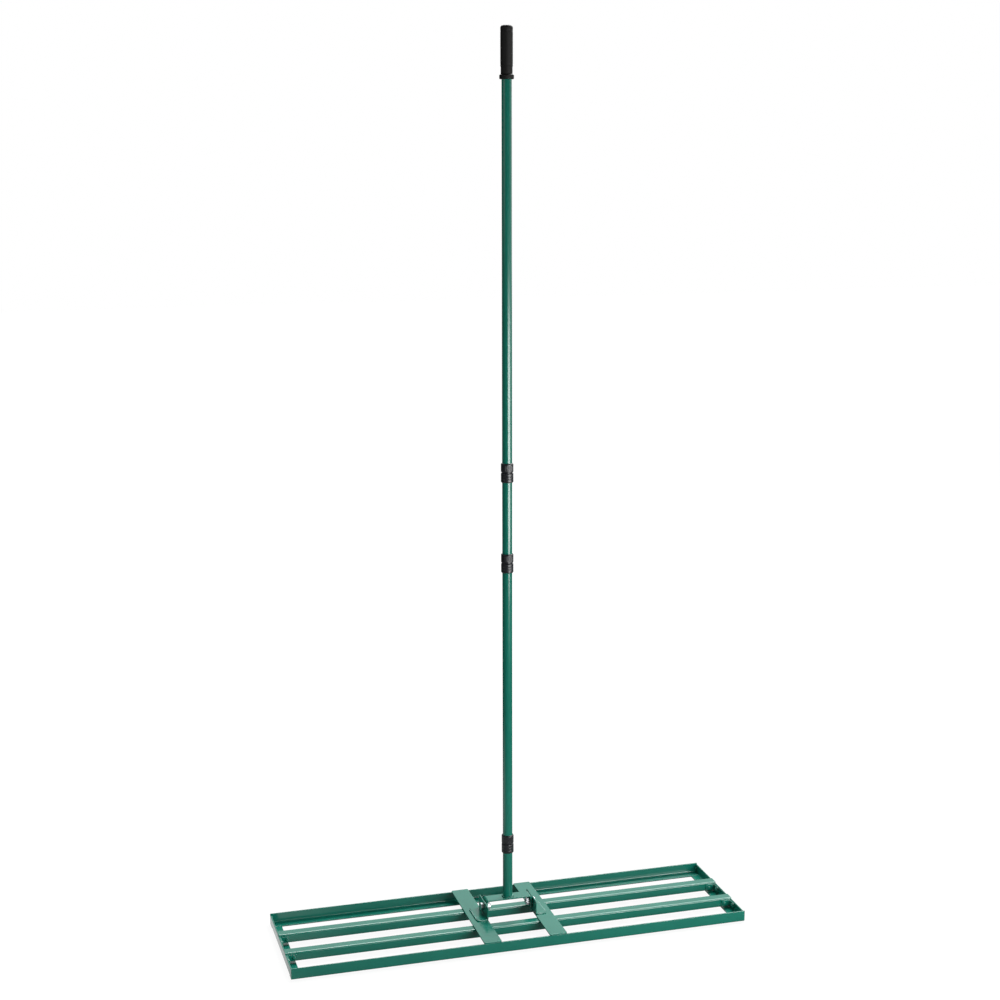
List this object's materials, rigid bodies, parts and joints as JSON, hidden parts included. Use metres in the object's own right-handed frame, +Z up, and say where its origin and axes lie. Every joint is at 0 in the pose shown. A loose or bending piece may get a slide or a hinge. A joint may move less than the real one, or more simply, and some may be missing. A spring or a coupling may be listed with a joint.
{
  "type": "lawn leveling rake",
  "caption": "Flat open angle-steel drag head with a tilting upright tube handle that screws together from sections, for spreading and leveling soil on a lawn.",
  "frame": {"origin": "on the floor under the middle of the head", "axes": "+Z up along the upright handle, +X along the width of the head to the right as seen from the front, +Y towards the rear rail"},
  "size_m": [0.914, 0.254, 1.7375],
  "materials": {
    "green_paint": "glossy green powder coat on steel",
    "zinc_steel": "bright zinc plated steel",
    "black_plastic": "moulded black nylon, satin",
    "plain_steel": "plain drawn steel tube",
    "black_rubber": "soft black rubber sleeve, matt"
  },
  "bodies": {
    "head": {"front_rail": "green_paint", "rear_rail": "green_paint", "left_end_bar": "green_paint", "right_end_bar": "green_paint", "rear_inner_bar": "green_paint", "front_inner_bar": "green_paint", "rear_left_clip": "green_paint", "rear_right_clip": "green_paint", "front_left_clip": "green_paint", "front_right_clip": "green_paint", "clip_rivets": "green_paint", "left_cross_plate": "green_paint", "right_cross_plate": "green_paint", "left_pivot_ear": "green_paint", "right_pivot_ear": "green_paint", "pivot_bolts": "zinc_steel", "pivot_washers": "zinc_steel", "pivot_nuts": "zinc_steel"},
    "stub_section": {"yoke": "green_paint", "handle_stub": "green_paint", "bottom_collar": "black_plastic"},
    "lower_section": {"lower_tube": "green_paint", "bottom_connector": "plain_steel", "middle_collar": "black_plastic"},
    "bottom_nut": {"bottom_collar_nut": "black_plastic"},
    "middle_section": {"middle_tube": "green_paint", "middle_connector": "plain_steel", "top_collar": "black_plastic"},
    "middle_nut": {"middle_collar_nut": "black_plastic"},
    "upper_section": {"upper_tube": "green_paint", "top_connector": "plain_steel", "grip": "black_rubber"},
    "top_nut": {"top_collar_nut": "black_plastic"}
  },
  "joints": [
    {"name": "handle_tilt", "type": "hinge", "parent": "head", "child": "stub_section", "pos_m": [0, 0, 0.041], "axis": [1, 0, 0], "range_deg": [-90, 90]},
    {"name": "bottom_nut_turn", "type": "hinge", "parent": "lower_section", "child": "bottom_nut", "pos_m": [0, 0, 0.176], "axis": [0, 0, 1], "range_deg": [0, 720]},
    {"name": "lower_section_lift", "type": "slide", "parent": "stub_section", "child": "lower_section", "axis": [0, 0, 1], "range_m": [0, 0.012]},
    {"name": "middle_nut_turn", "type": "hinge", "parent": "middle_section", "child": "middle_nut", "pos_m": [0, 0, 0.746], "axis": [0, 0, 1], "range_deg": [0, 720]},
    {"name": "middle_section_lift", "type": "slide", "parent": "lower_section", "child": "middle_section", "axis": [0, 0, 1], "range_m": [0, 0.012]},
    {"name": "top_nut_turn", "type": "hinge", "parent": "upper_section", "child": "top_nut", "pos_m": [0, 0, 0.922], "axis": [0, 0, 1], "range_deg": [0, 720]},
    {"name": "upper_section_lift", "type": "slide", "parent": "middle_section", "child": "upper_section", "axis": [0, 0, 1], "range_m": [0, 0.012]}
  ],
  "couplings": [
    {"joint": "bottom_nut_turn", "follows": "lower_section_lift", "rad_per_m": 1047.2},
    {"joint": "middle_nut_turn", "follows": "middle_section_lift", "rad_per_m": 1047.2},
    {"joint": "top_nut_turn", "follows": "upper_section_lift", "rad_per_m": 1047.2}
  ]
}
